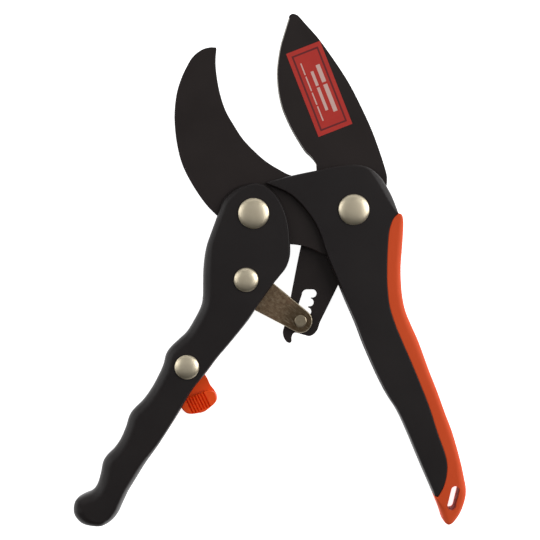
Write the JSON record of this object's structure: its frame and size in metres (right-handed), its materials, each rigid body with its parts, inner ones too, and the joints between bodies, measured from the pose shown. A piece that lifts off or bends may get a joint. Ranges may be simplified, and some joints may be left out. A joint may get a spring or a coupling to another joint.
{
  "type": "pruning shears",
  "caption": "Open ratchet pruning shears with a hook blade, a coated cutting blade with a notched tail, a link, two handles and a thumb latch.",
  "frame": {"origin": "axis of the main rivet, in the flat back face of the handles", "axes": "+Z out of the front face with the domed rivet heads, +Y towards the blade tips, +X towards the handle with the orange grip"},
  "size_m": [0.157, 0.2056, 0.0177],
  "materials": {
    "handle_black": "moulded glass-filled nylon, satin black",
    "grip_orange": "over-moulded soft elastomer, satin orange",
    "blade_coating": "black non-stick coating on steel, satin",
    "rivet_nickel": "satin nickel plate",
    "washer_steel": "plain rolled steel",
    "thrust_brass": "turned brass",
    "spring_steel": "drawn spring wire",
    "link_steel": "passivated steel, brownish and blotchy",
    "pin_steel": "passivated turned steel",
    "latch_orange": "injection-moulded glossy plastic",
    "label_red": "printed vinyl label, no lettering"
  },
  "bodies": {
    "root": {"right_handle_body": "handle_black", "right_handle_grip": "grip_orange", "hook_blade": "blade_coating", "main_rivet": "rivet_nickel", "main_rivet_washer": "washer_steel", "blade_thrust_washer": "thrust_brass"},
    "left_handle": {"left_handle_body": "handle_black", "handle_rivet": "rivet_nickel", "handle_rivet_washer": "washer_steel", "handle_spacer": "washer_steel", "opening_spring": "spring_steel", "link_rivet": "rivet_nickel", "link_rivet_washer": "washer_steel", "link_side_washers": "washer_steel", "latch_rivet": "rivet_nickel", "latch_rivet_washer": "washer_steel", "latch_side_washers": "washer_steel"},
    "ratchet_link": {"ratchet_link_front": "link_steel", "ratchet_link_back": "link_steel", "ratchet_pin": "pin_steel", "link_spacer": "washer_steel", "link_spring": "spring_steel"},
    "cutting_blade": {"cutting_blade": "blade_coating", "blade_label": "label_red"},
    "latch": {"latch": "latch_orange"}
  },
  "joints": [
    {"name": "handle_pivot", "type": "hinge", "parent": "root", "child": "left_handle", "pos_m": [-0.04, -0.0015, 0], "axis": [0, 0, 1], "range_deg": [0, 47], "stiffness_Nm_per_rad": 0.25, "springref_deg": -17.19},
    {"name": "blade_pivot", "type": "hinge", "parent": "root", "child": "cutting_blade", "pos_m": [0, 0, 0], "axis": [0, 0, 1], "range_deg": [0, 27.1]},
    {"name": "link_pivot", "type": "hinge", "parent": "left_handle", "child": "ratchet_link", "pos_m": [-0.043, -0.028, 0], "axis": [0, 0, 1], "range_deg": [-48.1, 0]},
    {"name": "latch_pivot", "type": "hinge", "parent": "left_handle", "child": "latch", "pos_m": [-0.0666, -0.0628, 0], "axis": [0, 0, 1], "range_deg": [0, 28]}
  ],
  "couplings": [
    {"joint": "blade_pivot", "follows": "handle_pivot", "ratio": 0.57511},
    {"joint": "link_pivot", "follows": "handle_pivot", "ratio": -1.0215}
  ]
}
